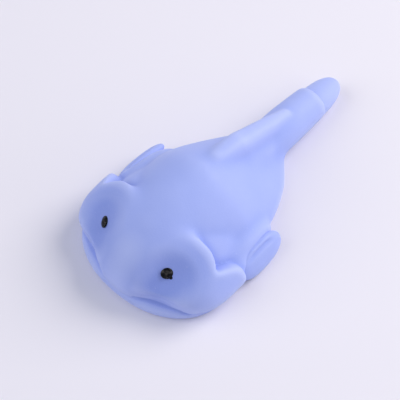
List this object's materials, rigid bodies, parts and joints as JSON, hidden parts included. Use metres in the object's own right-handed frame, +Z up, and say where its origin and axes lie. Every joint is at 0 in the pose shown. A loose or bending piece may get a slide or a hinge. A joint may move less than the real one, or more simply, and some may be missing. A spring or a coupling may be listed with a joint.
{
  "type": "blobfish squeeze toy",
  "caption": "Soft squeezable blobfish figure with drooping mouth, gill lobes, paddle fins and a bending tail; its back presses in and springs out again.",
  "frame": {"origin": "on the table under the middle of the figure, at the bottom centre of its box", "axes": "+Y towards the tail, so the snout points along -Y; +Z up; +X is the figure's own left"},
  "size_m": [0.056, 0.1, 0.0264],
  "materials": {
    "skin": "matte powdered soft rubber",
    "eye_black": "gloss paint",
    "gel": "soft gel",
    "plug": "matte soft rubber"
  },
  "bodies": {
    "body": {"trunk_skin": "skin", "head_skin": "skin", "gill_cover_left": "skin", "gill_cover_right": "skin", "cheek_lobe_left": "skin", "cheek_lobe_right": "skin", "lower_lip": "skin", "eye_left": "eye_black", "eye_right": "eye_black", "dorsal_fin": "skin", "filling": "gel", "fill_plug": "plug"},
    "back": {"back_skin": "skin"},
    "tail": {"tail_stock": "skin"},
    "tail_tip": {"tail_fin": "skin"},
    "fin_left": {"pectoral_fin_left": "skin"},
    "fin_right": {"pectoral_fin_right": "skin"}
  },
  "joints": [
    {"name": "back_squeeze", "type": "slide", "parent": "body", "child": "back", "axis": [0, 0, -1], "range_m": [0, 0.005], "stiffness_N_per_m": 400, "deforming": ["filling"]},
    {"name": "tail_wag", "type": "hinge", "parent": "body", "child": "tail", "pos_m": [0, 0.0215, 0.0068], "axis": [0, 0, 1], "range_deg": [-25, 25], "stiffness_Nm_per_rad": 0.03},
    {"name": "tail_fin_flick", "type": "hinge", "parent": "tail", "child": "tail_tip", "pos_m": [0, 0.036, 0.0047], "axis": [0, 0, 1], "range_deg": [-28, 28], "stiffness_Nm_per_rad": 0.01},
    {"name": "fin_flap_left", "type": "hinge", "parent": "body", "child": "fin_left", "pos_m": [0.0245, -0.0195, 0.0047], "axis": [0, 0, -1], "range_deg": [0, 25], "stiffness_Nm_per_rad": 0.006},
    {"name": "fin_flap_right", "type": "hinge", "parent": "body", "child": "fin_right", "pos_m": [-0.0245, -0.0195, 0.0047], "axis": [0, 0, 1], "range_deg": [0, 25], "stiffness_Nm_per_rad": 0.006}
  ]
}
